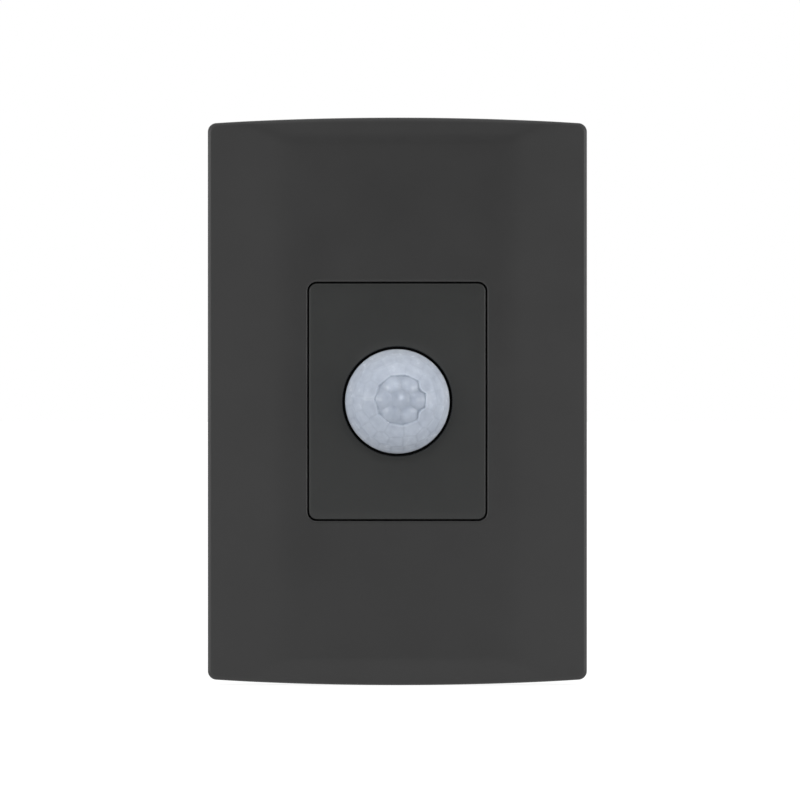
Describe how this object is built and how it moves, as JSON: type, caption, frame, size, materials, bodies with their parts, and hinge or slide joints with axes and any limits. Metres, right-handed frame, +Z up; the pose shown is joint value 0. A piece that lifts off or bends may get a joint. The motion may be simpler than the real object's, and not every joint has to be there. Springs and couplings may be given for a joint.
{
  "type": "motion sensor light switch",
  "caption": "Wall switch with a motion sensor behind a domed lens, for a box in the wall, with a pull-off plate and terminals at the back.",
  "frame": {"origin": "centre of the mounting frame's wall face, midway between the two screw slots", "axes": "+Z up along the plate's long side, +X to the right seen from the room, the front looks along -Y and the housing goes into the wall along +Y"},
  "size_m": [0.0802, 0.0488, 0.12],
  "materials": {
    "plate_plastic": "matt moulded",
    "module_plastic": "matt moulded",
    "frame_plastic": "moulded",
    "housing_plastic": "moulded",
    "lens_plastic": "milky polyethylene",
    "inner_plastic": "moulded",
    "board": "glass fibre board",
    "tinned_metal": "tinned",
    "filter_glass": "dark filter",
    "cell": "clear resin",
    "film_case": "moulded case",
    "sleeve": "shrink sleeve",
    "varistor_coat": "epoxy coat",
    "resistor_coat": "lacquer",
    "relay_case": "moulded case",
    "iron": "plated iron",
    "copper_wire": "enamelled copper",
    "contact_metal": "copper alloy",
    "brass": "plain",
    "dial_plastic": "moulded",
    "dial_case": "moulded"
  },
  "bodies": {
    "base": {"mounting_frame": "frame_plastic", "sensor_cover": "module_plastic", "rear_housing": "housing_plastic", "fresnel_lens": "lens_plastic", "lens_retainer": "inner_plastic", "sensor_board": "board", "sensor_spacer": "inner_plastic", "infrared_sensor": "tinned_metal", "infrared_window": "filter_glass", "light_cell": "cell", "control_chip": "inner_plastic", "power_board": "board", "header_strip": "inner_plastic", "header_pins": "tinned_metal", "film_capacitor": "film_case", "supply_capacitor": "sleeve", "output_capacitor": "sleeve", "bridge_rectifier": "inner_plastic", "varistor": "varistor_coat", "voltage_regulator": "inner_plastic", "fuse_resistor": "resistor_coat", "relay_base": "inner_plastic", "relay_cover": "relay_case", "relay_pins": "tinned_metal", "relay_yoke": "iron", "relay_core": "iron", "relay_bobbin": "inner_plastic", "relay_winding": "copper_wire", "fixed_contact": "contact_metal", "time_dial_body": "dial_case", "light_dial_body": "dial_case", "terminal_block": "housing_plastic", "terminal_bar_1": "brass", "terminal_bar_2": "brass", "terminal_bar_3": "brass"},
    "plate": {"front_plate": "plate_plastic"},
    "armature": {"relay_armature": "iron", "contact_strip": "contact_metal", "moving_contact": "contact_metal"},
    "time_shaft": {"time_dial": "dial_plastic"},
    "light_shaft": {"light_dial": "dial_plastic"},
    "screw_1": {"terminal_screw_1": "tinned_metal"},
    "clamp_1": {"wire_clamp_1": "brass"},
    "screw_2": {"terminal_screw_2": "tinned_metal"},
    "clamp_2": {"wire_clamp_2": "brass"},
    "screw_3": {"terminal_screw_3": "tinned_metal"},
    "clamp_3": {"wire_clamp_3": "brass"}
  },
  "joints": [
    {"name": "plate_pull", "type": "slide", "parent": "base", "child": "plate", "axis": [0, -1, 0], "range_m": [0, 0.03]},
    {"name": "armature_pivot", "type": "hinge", "parent": "base", "child": "armature", "pos_m": [-0.0071, 0.00445, 0.003], "axis": [-1, 0, 0], "range_deg": [0, 3], "stiffness_Nm_per_rad": 0.004, "springref_deg": -28.65},
    {"name": "time_turn", "type": "hinge", "parent": "base", "child": "time_shaft", "pos_m": [-0.0075, 0.025, 0.008], "axis": [0, -1, 0], "range_deg": [0, 270]},
    {"name": "light_turn", "type": "hinge", "parent": "base", "child": "light_shaft", "pos_m": [0.0075, 0.025, 0.008], "axis": [0, -1, 0], "range_deg": [0, 270]},
    {"name": "screw_turn_1", "type": "hinge", "parent": "base", "child": "screw_1", "pos_m": [-0.008, 0.026, -0.0166], "axis": [0, -1, 0], "range_deg": [0, 1440]},
    {"name": "clamp_rise_1", "type": "slide", "parent": "base", "child": "clamp_1", "axis": [0, 1, 0], "range_m": [0, 0.002]},
    {"name": "screw_turn_2", "type": "hinge", "parent": "base", "child": "screw_2", "pos_m": [0, 0.026, -0.0166], "axis": [0, -1, 0], "range_deg": [0, 1440]},
    {"name": "clamp_rise_2", "type": "slide", "parent": "base", "child": "clamp_2", "axis": [0, 1, 0], "range_m": [0, 0.002]},
    {"name": "screw_turn_3", "type": "hinge", "parent": "base", "child": "screw_3", "pos_m": [0.008, 0.026, -0.0166], "axis": [0, -1, 0], "range_deg": [0, 1440]},
    {"name": "clamp_rise_3", "type": "slide", "parent": "base", "child": "clamp_3", "axis": [0, 1, 0], "range_m": [0, 0.002]}
  ],
  "couplings": [
    {"joint": "screw_turn_1", "follows": "clamp_rise_1", "rad_per_m": 12566},
    {"joint": "screw_turn_2", "follows": "clamp_rise_2", "rad_per_m": 12566},
    {"joint": "screw_turn_3", "follows": "clamp_rise_3", "rad_per_m": 12566}
  ]
}
